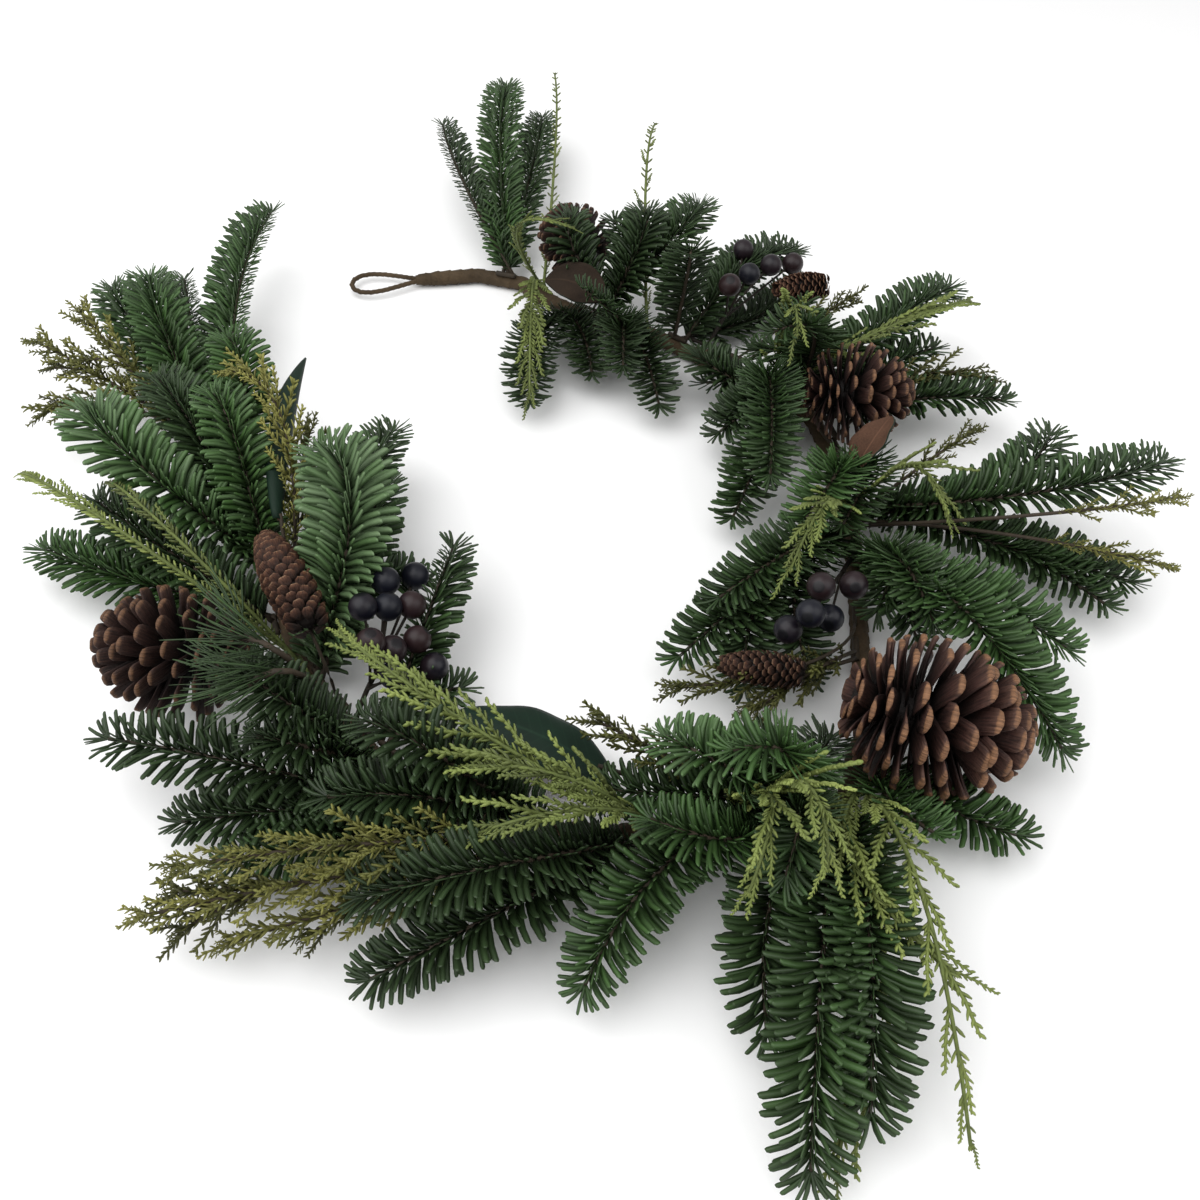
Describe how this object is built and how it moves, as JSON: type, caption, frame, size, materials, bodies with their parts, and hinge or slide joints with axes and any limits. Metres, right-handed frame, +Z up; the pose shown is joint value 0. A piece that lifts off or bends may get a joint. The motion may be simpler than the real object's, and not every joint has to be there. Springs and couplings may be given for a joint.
{
  "type": "christmas garland",
  "caption": "Evergreen christmas garland with cones, berries and a hanging loop at each end, laid down in an open C.",
  "frame": {"origin": "centre of the bounding box at floor level, with the garland lying on its core", "axes": "+Z up out of the floor, +Y towards the end with the free hanging loop, +X to the right of it"},
  "size_m": [0.7184, 0.9176, 0.1171],
  "materials": {
    "wrapped_core": "matte",
    "fir": "satin",
    "cedar": "satin",
    "juniper": "satin",
    "pine": "satin",
    "cone_scales": "matte",
    "berry": "satin",
    "magnolia_leaf": "satin"
  },
  "bodies": {
    "root": {"main_stem": "wrapped_core", "hanging_loop_1": "wrapped_core", "hanging_loop_2": "wrapped_core", "fir_01": "fir", "fir_02": "fir", "fir_03": "fir", "fir_04": "fir", "fir_05": "fir", "fir_06": "fir", "fir_07": "fir", "fir_08": "fir", "fir_09": "fir", "fir_10": "fir", "fir_11": "fir", "fir_12": "fir", "fir_13": "fir", "fir_14": "fir", "fir_15": "fir", "fir_16": "fir", "fir_17": "fir", "fir_18": "fir", "fir_19": "fir", "fir_20": "fir", "fir_21": "fir", "fir_22": "fir", "fir_23": "fir", "fir_24": "fir", "fir_25": "fir", "fir_26": "fir", "cedar_01": "cedar", "cedar_02": "cedar", "cedar_03": "cedar", "cedar_04": "cedar", "cedar_05": "cedar", "cedar_06": "cedar", "cedar_07": "cedar", "cedar_08": "cedar", "juniper_01": "juniper", "juniper_02": "juniper", "juniper_03": "juniper", "juniper_04": "juniper", "juniper_05": "juniper", "juniper_06": "juniper", "juniper_07": "juniper", "juniper_08": "juniper", "pine_01": "pine", "pine_cone_1": "cone_scales", "pine_cone_2": "cone_scales", "pine_cone_3": "cone_scales", "pine_cone_4": "cone_scales", "spruce_cone_1": "cone_scales", "spruce_cone_2": "cone_scales", "spruce_cone_3": "cone_scales", "berries_1": "berry", "berries_2": "berry", "berries_3": "berry", "magnolia_leaf_1": "magnolia_leaf", "magnolia_leaf_2": "magnolia_leaf", "magnolia_leaf_3": "magnolia_leaf", "magnolia_leaf_4": "magnolia_leaf"}
  },
  "joints": []
}
